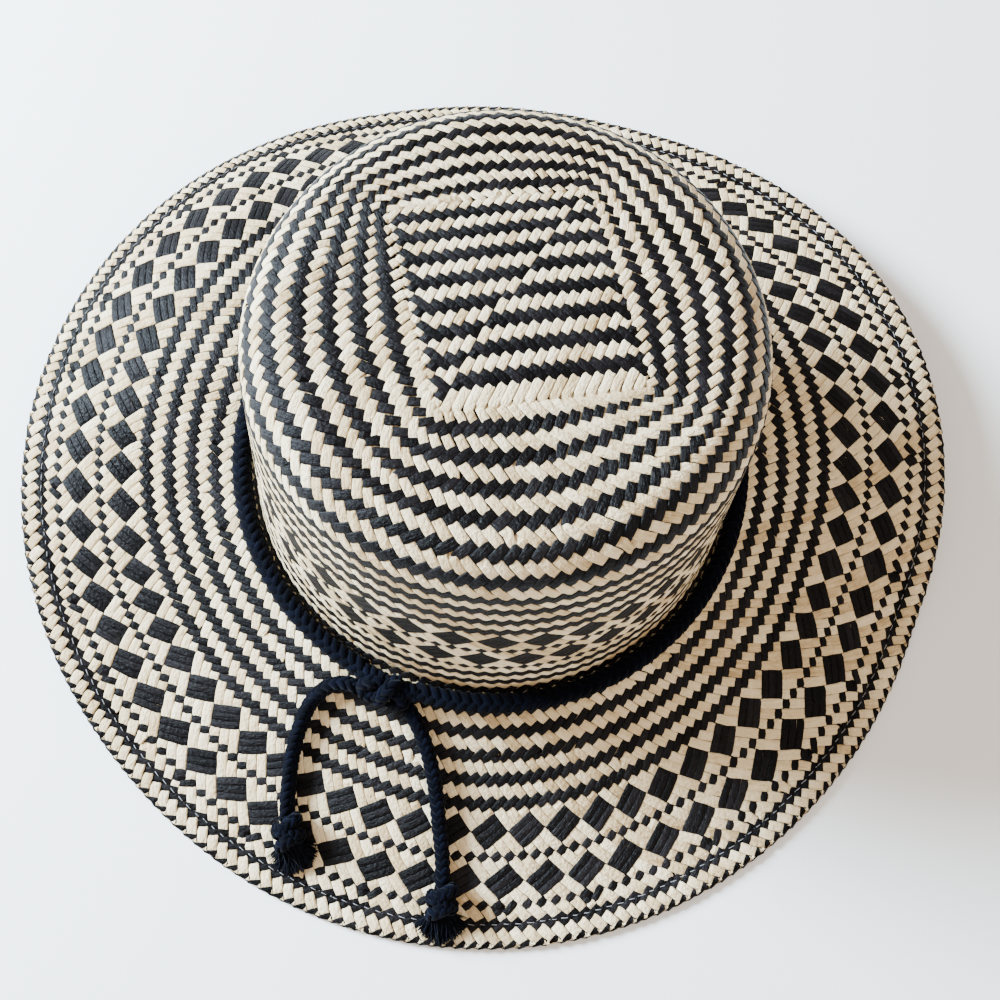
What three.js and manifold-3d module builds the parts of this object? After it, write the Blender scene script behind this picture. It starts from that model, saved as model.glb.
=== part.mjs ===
// A plaited palm hat with a round crown, a wavy brim and a braided cord tied round the crown.
// Millimetres, +Z up. The hat lies on its brim on z = 0, the crown's axis stands at the origin,
// and its front, where the cord's tails lie, faces -Y.

import * as THREE from 'three';
import Module from 'manifold-3d';
import { mergeVertices } from 'three/addons/utils/BufferGeometryUtils.js';

// Driving sizes
const BASE_RADIUS = 93.5;      // crown wall at its foot, a head size of about 57 cm inside
const BASE_HEIGHT = 30.5;      // foot of the crown above the table
const TOP_RADIUS = 86;         // crown just under its shoulder
const CROWN_HEIGHT = 110;      // from the foot to the top
const SHOULDER_RADIUS = 19;    // rounding between the wall and the top
const TOP_RISE = 2;            // how far the top domes up at its middle
const CROWN_LEAN = { x: 1, y: 5 };   // how far the top has slumped from the axis
const BRIM_REACH = 100;        // from the foot to the rim, along the weave
const FOOT_BEND = 6;           // rounding where the wall turns into the brim
const WALL = 2;                // one layer of crossed strips
const HEM = 3;                 // the rim, folded over and stitched
const HEM_WIDTH = 7;
const PRESSED = 0.6;           // the rim lies flat where it comes this close to the table
const GAP = 0.3;               // between pieces that touch

// The brim's waves: each row is a number of waves round the hat, measured from +X.
// rise is the rim's height above the table in mm, curl the change of slope across the brim
// in degrees, so a brim with a negative curl drops at the crown and flattens at the rim.
const BRIM_WAVES = [
  { waves: 0, riseCos: 2, riseSin: 0, curlCos: -10, curlSin: 0 },
  { waves: 1, riseCos: -4.5, riseSin: 12.5, curlCos: -20, curlSin: 28 },
  { waves: 2, riseCos: 11, riseSin: 7, curlCos: 10, curlSin: -7.5 },
  { waves: 3, riseCos: 1.5, riseSin: 5.5, curlCos: 0, curlSin: 13 },
];
const REST_SOFTNESS = 1.5;     // how gently the waves settle on the table
const REST_HEIGHT = HEM / 2;   // middle of the rim where it touches the table

// Cord
const BAND_RADIUS = 3.9;
const BAND_EASE = 0.55;        // slack between the band and the corner that it lies in
const TAIL_RADIUS = 3.1;
const KNOT_ANGLE = THREE.MathUtils.degToRad(-106.5);
const KNOT_HALF = 11;          // half of the knot's length along the band

// The tails' routes on the brim, seen from above; their height follows the brim.
const TAIL_LEFT = [
  { x: -40.3, y: -97.7 },
  { x: -45.5, y: -97 },
  { x: -51.5, y: -98.6 },
  { x: -57, y: -103.5 },
  { x: -60.6, y: -112.5 },
  { x: -62.4, y: -122.8 },
  { x: -62.6, y: -132.4 },
  { x: -62.1, y: -141.2 },
  { x: -61.3, y: -148.4 },
];
const TAIL_RIGHT = [
  { x: -21.2, y: -102.5 },
  { x: -18, y: -106.2 },
  { x: -14.2, y: -111.8 },
  { x: -9.6, y: -121.3 },
  { x: -5.9, y: -132.8 },
  { x: -3.3, y: -144.1 },
  { x: -0.6, y: -155.7 },
  { x: 0.6, y: -166.2 },
];

// Tassels: a tight end knot, then a frayed brush fanned out on the brim.
const TASSEL = { headLength: 8.5, headRadius: 4.5, neckRadius: 3, lockLength: 13.5 };
const LOCKS = [
  { turn: -36, reach: 0.86 },
  { turn: -20, reach: 0.98 },
  { turn: -6, reach: 1.0 },
  { turn: 8, reach: 0.97 },
  { turn: 22, reach: 1.0 },
  { turn: 36, reach: 0.88 },
];

const wasm = await Module();
wasm.setup();

// The hat's surface

const TOP_FLAT = TOP_RADIUS - SHOULDER_RADIUS;
const SHOULDER_ARC = SHOULDER_RADIUS * Math.PI / 2;
const WALL_HEIGHT = CROWN_HEIGHT - SHOULDER_RADIUS;
const WALL_LENGTH = Math.hypot(WALL_HEIGHT, BASE_RADIUS - TOP_RADIUS);
const CROWN_LENGTH = TOP_FLAT + SHOULDER_ARC + WALL_LENGTH;
const HAT_LENGTH = CROWN_LENGTH + BRIM_REACH;

function wave(angle, cosine, sine) {
  let sum = 0;
  for (const row of BRIM_WAVES) {
    sum += row[cosine] * Math.cos(row.waves * angle) + row[sine] * Math.sin(row.waves * angle);
  }
  return sum;
}

// The rim's height: the waves, but never below the table.
function rimHeight(angle) {
  const rise = wave(angle, 'riseCos', 'riseSin');
  return REST_HEIGHT + REST_SOFTNESS * Math.log(1 + Math.exp(rise / REST_SOFTNESS));
}

// The brim's slope at the foot, and its change out to the rim, both in radians.
function brimSlope(angle) {
  let curl = THREE.MathUtils.degToRad(wave(angle, 'curlCos', 'curlSin'));
  if (Math.abs(curl) < 0.001) curl = 0.001;
  const drop = BASE_HEIGHT - rimHeight(angle);
  const mean = Math.asin(drop * (curl / 2) / (BRIM_REACH * Math.sin(curl / 2)));
  return { foot: mean - curl / 2, curl };
}

// A point on the brim, s along the weave from the foot: its slope changes evenly with s.
function brimPoint(angle, s) {
  const { foot, curl } = brimSlope(angle);
  const slope = foot + curl * s / BRIM_REACH;
  const radius = BASE_RADIUS + BRIM_REACH * (Math.sin(slope) - Math.sin(foot)) / curl;
  const z = BASE_HEIGHT + BRIM_REACH * (Math.cos(slope) - Math.cos(foot)) / curl;
  return new THREE.Vector3(radius * Math.cos(angle), radius * Math.sin(angle), z);
}

// A point on the crown, s along the weave from the middle of the top.
function crownPoint(angle, s) {
  let radius;
  let height;
  if (s < TOP_FLAT) {
    radius = s;
    height = CROWN_HEIGHT + TOP_RISE * (1 + Math.cos(Math.PI * s / TOP_FLAT)) / 2;
  } else if (s < TOP_FLAT + SHOULDER_ARC) {
    const turn = (s - TOP_FLAT) / SHOULDER_RADIUS;
    radius = TOP_FLAT + SHOULDER_RADIUS * Math.sin(turn);
    height = WALL_HEIGHT + SHOULDER_RADIUS * Math.cos(turn);
  } else {
    const down = (s - TOP_FLAT - SHOULDER_ARC) / WALL_LENGTH;
    radius = TOP_RADIUS + (BASE_RADIUS - TOP_RADIUS) * down;
    height = WALL_HEIGHT * (1 - down);
  }
  const lean = Math.min(1, height / WALL_HEIGHT);
  return new THREE.Vector3(
    CROWN_LEAN.x * lean + radius * Math.cos(angle),
    CROWN_LEAN.y * lean + radius * Math.sin(angle),
    BASE_HEIGHT + height,
  );
}

// The middle of the hat's wall, s from the middle of the top out to the rim.
function hatPoint(angle, s) {
  const past = s - CROWN_LENGTH;
  if (past <= -FOOT_BEND) return crownPoint(angle, s);
  if (past >= FOOT_BEND) return brimPoint(angle, past);
  const t = (past + FOOT_BEND) / (2 * FOOT_BEND);
  const bend = new THREE.QuadraticBezierCurve3(
    crownPoint(angle, CROWN_LENGTH - FOOT_BEND),
    brimPoint(angle, 0),
    brimPoint(angle, FOOT_BEND),
  );
  return bend.getPoint(t);
}

// The wall's outward normal.
function hatNormal(angle, s) {
  if (s < 1) return new THREE.Vector3(0, 0, 1);
  const step = 0.5;
  const along = hatPoint(angle, Math.min(s + step, HAT_LENGTH)).sub(hatPoint(angle, s - step));
  const round = hatPoint(angle + 0.01, s).sub(hatPoint(angle - 0.01, s));
  return along.cross(round).normalize();
}

// The brim's height under a point seen from above, with its slope's cosine and half thickness.
function brimUnder(x, y) {
  const angle = Math.atan2(y, x);
  const radius = Math.hypot(x, y);
  let near = 0;
  let far = BRIM_REACH;
  for (let i = 0; i < 30; i += 1) {
    const s = (near + far) / 2;
    const p = brimPoint(angle, s);
    if (Math.hypot(p.x, p.y) < radius) near = s;
    else far = s;
  }
  const { foot, curl } = brimSlope(angle);
  const half = (near > BRIM_REACH - HEM_WIDTH - 3 ? HEM : WALL) / 2;
  return { z: brimPoint(angle, near).z, cos: Math.cos(foot + curl * near / BRIM_REACH), half };
}

// The height at which something of the given radius rests on the brim.
function seatOnBrim(x, y, radius) {
  const { z, cos, half } = brimUnder(x, y);
  return z + (half + GAP + radius) / cos;
}

// Geometry helpers

function solid(positions, triangles) {
  const geometry = new THREE.BufferGeometry();
  geometry.setAttribute('position', new THREE.Float32BufferAttribute(positions, 3));
  geometry.setIndex(triangles);
  geometry.computeVertexNormals();
  return geometry;
}

function toManifold(geometry) {
  const bare = geometry.clone();
  bare.deleteAttribute('normal');
  bare.deleteAttribute('uv');
  const merged = mergeVertices(bare, 1e-4);
  return new wasm.Manifold(new wasm.Mesh({
    numProp: 3,
    vertProperties: new Float32Array(merged.attributes.position.array),
    triVerts: new Uint32Array(merged.index.array),
  }));
}

function fromManifold(body) {
  const mesh = body.getMesh();
  return solid(Array.from(mesh.vertProperties), Array.from(mesh.triVerts));
}

function fuse(geometries) {
  let body = toManifold(geometries[0]);
  for (const geometry of geometries.slice(1)) body = body.add(toManifold(geometry));
  return fromManifold(body);
}

// A cord along a curve, closed by a flat face at each end.
function cord(curve, radius, steps, sides) {
  const section = new THREE.Shape();
  for (let i = 0; i < sides; i += 1) {
    const turn = 2 * Math.PI * (i + 0.5) / sides;
    const x = radius * Math.cos(turn);
    const y = radius * Math.sin(turn);
    if (i === 0) section.moveTo(x, y);
    else section.lineTo(x, y);
  }
  section.closePath();
  return new THREE.ExtrudeGeometry(section, { steps, extrudePath: curve });
}

// The pieces

// Crown and brim: one sheet with an outer and an inner side, joined round the rim.
function wovenBody() {
  const around = 72;
  const stations = [];
  const addSpan = (from, to, steps) => {
    for (let i = 1; i <= steps; i += 1) stations.push(from + (to - from) * i / steps);
  };
  addSpan(0, TOP_FLAT, 4);
  addSpan(TOP_FLAT, TOP_FLAT + SHOULDER_ARC, 4);
  addSpan(TOP_FLAT + SHOULDER_ARC, CROWN_LENGTH - FOOT_BEND, 3);
  addSpan(CROWN_LENGTH - FOOT_BEND, CROWN_LENGTH + FOOT_BEND, 3);
  addSpan(CROWN_LENGTH + FOOT_BEND, HAT_LENGTH - HEM_WIDTH, 6);
  addSpan(HAT_LENGTH - HEM_WIDTH, HAT_LENGTH, 2);

  const positions = [];
  const addSide = (side) => {
    const apex = positions.length / 3;
    const top = hatPoint(0, 0);
    positions.push(top.x, top.y, top.z + side * WALL / 2);
    for (const s of stations) {
      const half = (s > HAT_LENGTH - HEM_WIDTH ? HEM : WALL) / 2;
      for (let i = 0; i < around; i += 1) {
        const angle = 2 * Math.PI * i / around;
        const p = hatPoint(angle, s).addScaledVector(hatNormal(angle, s), side * half);
        if (p.z < PRESSED) p.z = 0;
        positions.push(p.x, p.y, p.z);
      }
    }
    return apex;
  };
  const outer = addSide(1);
  const inner = addSide(-1);

  const triangles = [];
  const ring = (apex, row, i) => apex + 1 + row * around + i % around;
  const addFace = (a, b, c, flip) => {
    if (flip) triangles.push(a, c, b);
    else triangles.push(a, b, c);
  };
  for (const [apex, flip] of [[outer, false], [inner, true]]) {
    for (let i = 0; i < around; i += 1) {
      addFace(apex, ring(apex, 0, i), ring(apex, 0, i + 1), flip);
      for (let row = 1; row < stations.length; row += 1) {
        const a = ring(apex, row - 1, i);
        const b = ring(apex, row, i);
        const c = ring(apex, row, i + 1);
        const d = ring(apex, row - 1, i + 1);
        addFace(a, b, c, flip);
        addFace(a, c, d, flip);
      }
    }
  }
  const rim = stations.length - 1;
  for (let i = 0; i < around; i += 1) {
    const a = ring(outer, rim, i);
    const b = ring(inner, rim, i);
    const c = ring(inner, rim, i + 1);
    const d = ring(outer, rim, i + 1);
    addFace(a, b, c, false);
    addFace(a, c, d, false);
  }
  return solid(positions, triangles);
}

// The band's centre line: in the corner between the wall and the brim, resting on both.
function bandPoint(angle) {
  const clear = WALL / 2 + GAP + BAND_RADIUS;
  const out = clear + BAND_EASE;
  const { foot } = brimSlope(angle);
  const up = clear / Math.cos(foot) - out * Math.tan(foot) + BAND_EASE;
  const radius = BASE_RADIUS + out;
  return new THREE.Vector3(
    radius * Math.cos(angle),
    radius * Math.sin(angle),
    BASE_HEIGHT + up,
  );
}

class BandCurve extends THREE.Curve {
  constructor(from, to, out = 0, up = 0) {
    super();
    Object.assign(this, { from, to, out, up });
  }

  getPoint(t) {
    const angle = this.from + (this.to - this.from) * t;
    const p = bandPoint(angle);
    p.x += this.out * Math.cos(angle);
    p.y += this.out * Math.sin(angle);
    p.z += this.up;
    return p;
  }
}

const BAND_LINE_RADIUS = BASE_RADIUS + WALL / 2 + GAP + BAND_RADIUS;
const KNOT_TURN = KNOT_HALF / BAND_LINE_RADIUS;
const GAP_TURN = (GAP + 0.1) / BAND_LINE_RADIUS;

function cordBand() {
  const start = KNOT_ANGLE + KNOT_TURN + GAP_TURN;
  const end = KNOT_ANGLE - KNOT_TURN - GAP_TURN + 2 * Math.PI;
  return cord(new BandCurve(start, end), BAND_RADIUS, 66, 8);
}

// The knot: a core in line with the band, a loop at its left and two crossing wraps.
const KNOT_CORE = { radius: 4.6, out: 1.2, up: 1.0 };
const KNOT_LOOPS = [
  { along: -5.5, out: 5.6, up: -1.2, long: 5.4, deep: 4.0, high: 3.9, turn: 0 },
  { along: 1.0, out: 3.4, up: 1.6, long: 4.6, deep: 5.4, high: 4.4, turn: 25 },
  { along: 6.0, out: 4.2, up: -0.6, long: 4.4, deep: 4.6, high: 4.0, turn: -35 },
];

function bandKnot() {
  const from = KNOT_ANGLE - KNOT_TURN;
  const to = KNOT_ANGLE + KNOT_TURN;
  const pieces = [cord(new BandCurve(from, to, KNOT_CORE.out, KNOT_CORE.up), KNOT_CORE.radius, 3, 10)];
  const middle = bandPoint(KNOT_ANGLE);
  const along = new THREE.Vector3(-Math.sin(KNOT_ANGLE), Math.cos(KNOT_ANGLE), 0);
  const out = new THREE.Vector3(Math.cos(KNOT_ANGLE), Math.sin(KNOT_ANGLE), 0);
  for (const loop of KNOT_LOOPS) {
    const ball = new THREE.SphereGeometry(1, 12, 8);
    ball.scale(loop.long, loop.deep, loop.high);
    ball.rotateZ(KNOT_ANGLE + Math.PI / 2 + THREE.MathUtils.degToRad(loop.turn));
    const place = middle.clone().addScaledVector(along, loop.along).addScaledVector(out, loop.out);
    ball.translate(place.x, place.y, place.z + loop.up);
    pieces.push(ball);
  }
  let body = toManifold(fuse(pieces));
  for (const route of [TAIL_LEFT, TAIL_RIGHT]) body = body.subtract(toManifold(tailSocket(route)));
  return fromManifold(body);
}

// Where a tail leaves the knot: the tail's start, larger by the gap all round.
function tailSocket(route) {
  const curve = tailCurve(route.slice(0, 4));
  const socket = cord(curve, TAIL_RADIUS + 1.1 * GAP, 6, 8);
  const back = curve.getTangent(0).multiplyScalar(-GAP);
  socket.translate(back.x, back.y, back.z);
  return socket;
}

function tailCurve(route) {
  const points = route.map(({ x, y }) => new THREE.Vector3(x, y, seatOnBrim(x, y, TAIL_RADIUS)));
  return new THREE.CatmullRomCurve3(points, false, 'centripetal');
}

// A tassel beyond a tail's end: a barrel for the end knot, and a fan of locks fused to it.
function tassel(route) {
  const curve = tailCurve(route);
  const end = curve.getPoint(1);
  const forward = curve.getTangent(1);
  const head = new THREE.LatheGeometry([
    new THREE.Vector2(0, 0),
    new THREE.Vector2(TASSEL.neckRadius, 0),
    new THREE.Vector2(TASSEL.headRadius, TASSEL.headLength * 0.35),
    new THREE.Vector2(TASSEL.headRadius, TASSEL.headLength * 0.65),
    new THREE.Vector2(TASSEL.neckRadius, TASSEL.headLength),
    new THREE.Vector2(0, TASSEL.headLength),
  ], 10);
  const level = forward.clone().setZ(0).normalize();
  const base = end.clone().addScaledVector(forward, GAP);
  const neck = base.clone().addScaledVector(level, TASSEL.headLength - 2);
  base.z = seatOnBrim(base.x, base.y, TASSEL.headRadius);
  neck.z = seatOnBrim(neck.x, neck.y, TASSEL.headRadius);
  const axis = neck.clone().sub(base).normalize();
  head.applyQuaternion(new THREE.Quaternion().setFromUnitVectors(new THREE.Vector3(0, 1, 0), axis));
  head.translate(base.x, base.y, base.z);

  const pieces = [head];
  for (const lock of LOCKS) {
    const yaw = THREE.MathUtils.degToRad(lock.turn);
    const way = level.clone().applyAxisAngle(new THREE.Vector3(0, 0, 1), yaw);
    const tip = neck.clone().addScaledVector(way, TASSEL.lockLength * lock.reach + 2);
    const start = neck.clone().addScaledVector(way, 0.4);
    start.z = seatOnBrim(start.x, start.y, 2.6);
    tip.z = seatOnBrim(tip.x, tip.y, 1.5);
    const length = start.distanceTo(tip);
    const strand = new THREE.CylinderGeometry(1.4, 2.5, length, 7);
    strand.translate(0, length / 2, 0);
    const aim = new THREE.Vector3().subVectors(tip, start).normalize();
    strand.applyQuaternion(new THREE.Quaternion().setFromUnitVectors(new THREE.Vector3(0, 1, 0), aim));
    strand.translate(start.x, start.y, start.z);
    pieces.push(strand);
  }
  return fuse(pieces);
}

// Materials

const palm = new THREE.MeshStandardMaterial({ color: 0xb9b0a0, roughness: 0.75, metalness: 0 });
const navy = new THREE.MeshStandardMaterial({ color: 0x131b33, roughness: 0.9, metalness: 0 });

// Assembly

const hat = new THREE.Group();

function add(name, geometry, material) {
  const mesh = new THREE.Mesh(geometry, material.clone());
  mesh.name = name;
  hat.add(mesh);
}

add('woven_body', wovenBody(), palm);
add('cord_band', cordBand(), navy);
add('band_knot', bandKnot(), navy);
add('tail_left', cord(tailCurve(TAIL_LEFT), TAIL_RADIUS, 14, 8), navy);
add('tail_right', cord(tailCurve(TAIL_RIGHT), TAIL_RADIUS, 14, 8), navy);
add('tassel_left', tassel(TAIL_LEFT), navy);
add('tassel_right', tassel(TAIL_RIGHT), navy);

export default hat;
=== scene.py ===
# %% [markdown]
# # A plaited palm hat with a braided cord
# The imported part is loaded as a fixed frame. Its solids are smooth walls and tubes, so this
# lesson weaves the palm strips and braids the cord along the same surfaces, one real strip at
# a time. Sizes are in millimetres while they are worked out, and a last step turns them into
# Blender's metres.

import math
import random

import bmesh
import bpy
import numpy as np
from mathutils import Matrix, Vector


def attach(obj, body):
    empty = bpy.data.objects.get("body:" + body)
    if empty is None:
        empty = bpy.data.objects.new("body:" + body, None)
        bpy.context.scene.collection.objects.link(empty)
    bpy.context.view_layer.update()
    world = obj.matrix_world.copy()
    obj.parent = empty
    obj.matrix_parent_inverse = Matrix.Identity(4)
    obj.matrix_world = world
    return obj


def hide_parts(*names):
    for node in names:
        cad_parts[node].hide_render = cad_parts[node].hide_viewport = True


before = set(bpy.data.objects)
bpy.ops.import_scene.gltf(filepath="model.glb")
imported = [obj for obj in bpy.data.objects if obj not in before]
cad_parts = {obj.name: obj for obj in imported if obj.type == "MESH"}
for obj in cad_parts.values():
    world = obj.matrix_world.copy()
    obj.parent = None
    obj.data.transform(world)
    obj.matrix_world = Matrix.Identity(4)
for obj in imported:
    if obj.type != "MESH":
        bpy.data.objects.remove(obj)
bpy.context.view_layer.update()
MM = 0.001
BODY = "root"
print("nodes:", sorted(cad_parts))

# %% [markdown]
# ## Camera
# The photograph looks down steeply from above the front of the brim, turned a little. Two
# angles, a roll and a distance say where that camera stands, and its lens is a focal length in
# pixels of a square 1000 pixel picture, turned into millimetres on Blender's 36 mm sensor.

# %% Camera
PICTURE = 1000.0
FOCAL_PIXELS = 1089.0
CAMERA_TARGET = Vector((5.1, -8.7, 1.5)) * MM
CAMERA_DISTANCE = 465.0 * MM
CAMERA_ELEVATION = math.radians(72.0)
CAMERA_AZIMUTH = math.radians(-0.79)
CAMERA_ROLL = math.radians(7.59)


def camera_matrix():
    """The camera's place: its Z looks back at the viewer, X to the right and Y up the picture."""
    flat = math.cos(CAMERA_ELEVATION)
    back = Vector((flat * math.sin(CAMERA_AZIMUTH), -flat * math.cos(CAMERA_AZIMUTH),
                   math.sin(CAMERA_ELEVATION)))
    right = Vector((0, 0, 1)).cross(back).normalized()
    up = back.cross(right)
    turned_right = math.cos(CAMERA_ROLL) * right + math.sin(CAMERA_ROLL) * up
    turned_up = -math.sin(CAMERA_ROLL) * right + math.cos(CAMERA_ROLL) * up
    turn = Matrix((turned_right, turned_up, back)).transposed().to_4x4()
    return Matrix.Translation(CAMERA_TARGET + CAMERA_DISTANCE * back) @ turn


camera_data = bpy.data.cameras.new("camera")
camera_data.sensor_width = 36.0
camera_data.lens = camera_data.sensor_width * FOCAL_PIXELS / PICTURE
camera_data.clip_start = 0.01
camera = bpy.data.objects.new("camera", camera_data)
bpy.context.scene.collection.objects.link(camera)
camera.matrix_world = camera_matrix()
bpy.context.scene.camera = camera
print("camera at", tuple(round(v, 3) for v in camera.location), "lens", round(camera_data.lens, 1))

# %% [markdown]
# ## The hat's surface
# Everything lies on one surface: a domed top, a rounded shoulder, a wall that spreads a little
# to its foot, and a brim whose slope and waves change round the hat. A point on it is an angle
# round the crown and a length along the weave from the middle of the top. NumPy works out many
# points at once, which keeps fifteen thousand crossings quick.

# %% Sizes of the surface
BASE_RADIUS, BASE_HEIGHT = 93.5, 30.5
TOP_RADIUS, CROWN_HEIGHT, SHOULDER_RADIUS, TOP_RISE = 86.0, 110.0, 19.0, 2.0
LEAN_X, LEAN_Y = 1.0, 5.0
BRIM_REACH, FOOT_BEND = 100.0, 6.0
WALL, HEM, GAP = 2.0, 3.0, 0.3
# waves round the hat, rise cos and sin in mm, curl cos and sin in degrees
BRIM_WAVES = [(0, 2, 0, -10, 0), (1, -4.5, 12.5, -20, 28), (2, 11, 7, 10, -7.5),
              (3, 1.5, 5.5, 0, 13)]
REST_SOFTNESS, REST_HEIGHT = 1.5, HEM / 2
TOP_FLAT = TOP_RADIUS - SHOULDER_RADIUS
SHOULDER_ARC = SHOULDER_RADIUS * math.pi / 2
WALL_HEIGHT = CROWN_HEIGHT - SHOULDER_RADIUS
WALL_LENGTH = math.hypot(WALL_HEIGHT, BASE_RADIUS - TOP_RADIUS)
CROWN_LENGTH = TOP_FLAT + SHOULDER_ARC + WALL_LENGTH
HAT_LENGTH = CROWN_LENGTH + BRIM_REACH
print("along the weave: foot at", round(CROWN_LENGTH, 1), "mm, rim at", round(HAT_LENGTH, 1), "mm")

# %% Points on the surface
RISE_COLUMNS, CURL_COLUMNS = (1, 2), (3, 4)
LEAST_CURL = 0.001


def wave(angle, columns):
    """The brim's waves at an angle, from the cosine and sine columns of BRIM_WAVES."""
    cosine, sine = columns
    return sum(row[cosine] * np.cos(row[0] * angle) + row[sine] * np.sin(row[0] * angle)
               for row in BRIM_WAVES)


def brim_slope(angle):
    """The brim's slope at the foot, and how much it changes out to the rim, in radians."""
    lift = np.log1p(np.exp(wave(angle, RISE_COLUMNS) / REST_SOFTNESS))
    rim = REST_HEIGHT + REST_SOFTNESS * lift
    curl = np.radians(wave(angle, CURL_COLUMNS))
    curl = np.where(np.abs(curl) < LEAST_CURL, LEAST_CURL, curl)
    mean = np.arcsin((BASE_HEIGHT - rim) * (curl / 2) / (BRIM_REACH * np.sin(curl / 2)))
    return mean - curl / 2, curl


def brim_point(angle, s):
    """A point on the brim, s along the weave from the foot."""
    foot, curl = brim_slope(angle)
    slope = foot + curl * s / BRIM_REACH
    radius = BASE_RADIUS + BRIM_REACH * (np.sin(slope) - np.sin(foot)) / curl
    height = BASE_HEIGHT + BRIM_REACH * (np.cos(slope) - np.cos(foot)) / curl
    return np.stack([radius * np.cos(angle), radius * np.sin(angle), height], -1)


def crown_point(angle, s):
    """A point on the crown, s along the weave from the middle of the top."""
    turn = np.clip((s - TOP_FLAT) / SHOULDER_RADIUS, 0, math.pi / 2)
    down = np.clip((s - TOP_FLAT - SHOULDER_ARC) / WALL_LENGTH, 0, 1)
    domed = CROWN_HEIGHT + TOP_RISE * (1 + np.cos(np.pi * np.minimum(s, TOP_FLAT) / TOP_FLAT)) / 2
    radius = np.minimum(s, TOP_FLAT) + SHOULDER_RADIUS * np.sin(turn) \
        + (BASE_RADIUS - TOP_RADIUS) * down
    below = WALL_HEIGHT * (1 - down) + SHOULDER_RADIUS * np.cos(turn)
    height = np.where(s < TOP_FLAT, domed, below)
    lean = np.minimum(1, height / WALL_HEIGHT)
    return np.stack([LEAN_X * lean + radius * np.cos(angle), LEAN_Y * lean + radius * np.sin(angle),
                     BASE_HEIGHT + height], -1)


def hat_point(angle, s):
    """The middle of the hat's wall, with a rounded bend where the crown turns into the brim."""
    past = s - CROWN_LENGTH
    t = np.clip((past + FOOT_BEND) / (2 * FOOT_BEND), 0, 1)[..., None]
    before = crown_point(angle, CROWN_LENGTH - FOOT_BEND + 0 * s)
    corner = brim_point(angle, 0 * s)
    after = brim_point(angle, FOOT_BEND + 0 * s)
    bend = (1 - t) ** 2 * before + 2 * t * (1 - t) * corner + t ** 2 * after
    point = np.where((past <= -FOOT_BEND)[..., None], crown_point(angle, s), bend)
    return np.where((past >= FOOT_BEND)[..., None], brim_point(angle, past), point)


around = np.radians(np.arange(0, 360, 5))
rim_heights = hat_point(around, HAT_LENGTH + 0 * around)[:, 2]
print("the rim lies", round(rim_heights.min(), 1), "to", round(rim_heights.max(), 1), "mm up")

# %% The surface's own directions
PROBE_LENGTH, PROBE_ANGLE = 0.4, 0.01
NEAREST_MIDDLE = 0.01


def surface_frame(angle, s):
    """A point of the wall's middle with its outward normal and its way down the weave."""
    here = hat_point(angle, s)
    along = hat_point(angle, s + PROBE_LENGTH) \
        - hat_point(angle, np.maximum(s - PROBE_LENGTH, NEAREST_MIDDLE))
    across = hat_point(angle + PROBE_ANGLE, s) - hat_point(angle - PROBE_ANGLE, s)
    normal = np.cross(along, across)
    normal /= np.linalg.norm(normal, axis=-1, keepdims=True)
    along /= np.linalg.norm(along, axis=-1, keepdims=True)
    return here, normal, along


# %% [markdown]
# ## The folded hem
# The real rim is folded under and sewn down, so the weave goes on past the rim: round a tight
# fold and back under the brim. The same length s simply runs on, and this step bends it round.
# Before the fold the weave rises a little, to lie on top of the layer that comes back.

# %% Fold the surface under at the rim
HEM_RISE, HEM_RAMP_START, HEM_RAMP = 0.9, 8, 4
FOLD_RADIUS, FOLD_INSET = 0.62, 1.25
FOLD_START = HAT_LENGTH - FOLD_INSET


def sheet_frame(angle, s):
    """The surface of the weave, folded under at the rim: point and outward normal."""
    flat = np.minimum(s, FOLD_START)
    turn = np.clip((s - FOLD_START) / FOLD_RADIUS, 0, math.pi)
    under = np.maximum(s - FOLD_START - math.pi * FOLD_RADIUS, 0)
    here, normal, along = surface_frame(angle, flat - under)
    rise = HEM_RISE * np.clip((s - FOLD_START + HEM_RAMP_START) / HEM_RAMP, 0, 1)
    lift = rise - FOLD_RADIUS * (1 - np.cos(turn))
    point = here + normal * lift[..., None] + along * (FOLD_RADIUS * np.sin(turn))[..., None]
    facing = normal * np.cos(turn)[..., None] + along * np.sin(turn)[..., None]
    return point, facing


print("the fold begins", round(FOLD_START, 1), "mm along the weave")

# %% [markdown]
# ## Strips swept along lines
# A palm strip, a braid yarn and a loose thread are all one shape swept along a line. A mesh of
# bare points and edges holds the lines, and each point carries the way the strip's flat side
# faces, its half width, the length so far and a tone of its own. Geometry Nodes turn the edges
# into curves, lay a flattened circle along them and close both ends. The result is then made
# a plain mesh, so nothing stays live.

# %% The sweep
def math_node(tree, operation, a, b=0.0):
    """Adds a Math node on two numbers or sockets and returns its result."""
    node = tree.nodes.new("ShaderNodeMath")
    node.operation = operation
    for socket, value in zip(node.inputs, (a, b)):
        if isinstance(value, (int, float)):
            socket.default_value = value
        else:
            tree.links.new(value, socket)
    return node.outputs[0]


def stored_value(group, name, kind):
    """Reads what the mesh's points carry under a name."""
    node = group.nodes.new("GeometryNodeInputNamedAttribute")
    node.data_type = kind
    node.inputs["Name"].default_value = name
    return node.outputs["Attribute"]


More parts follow.
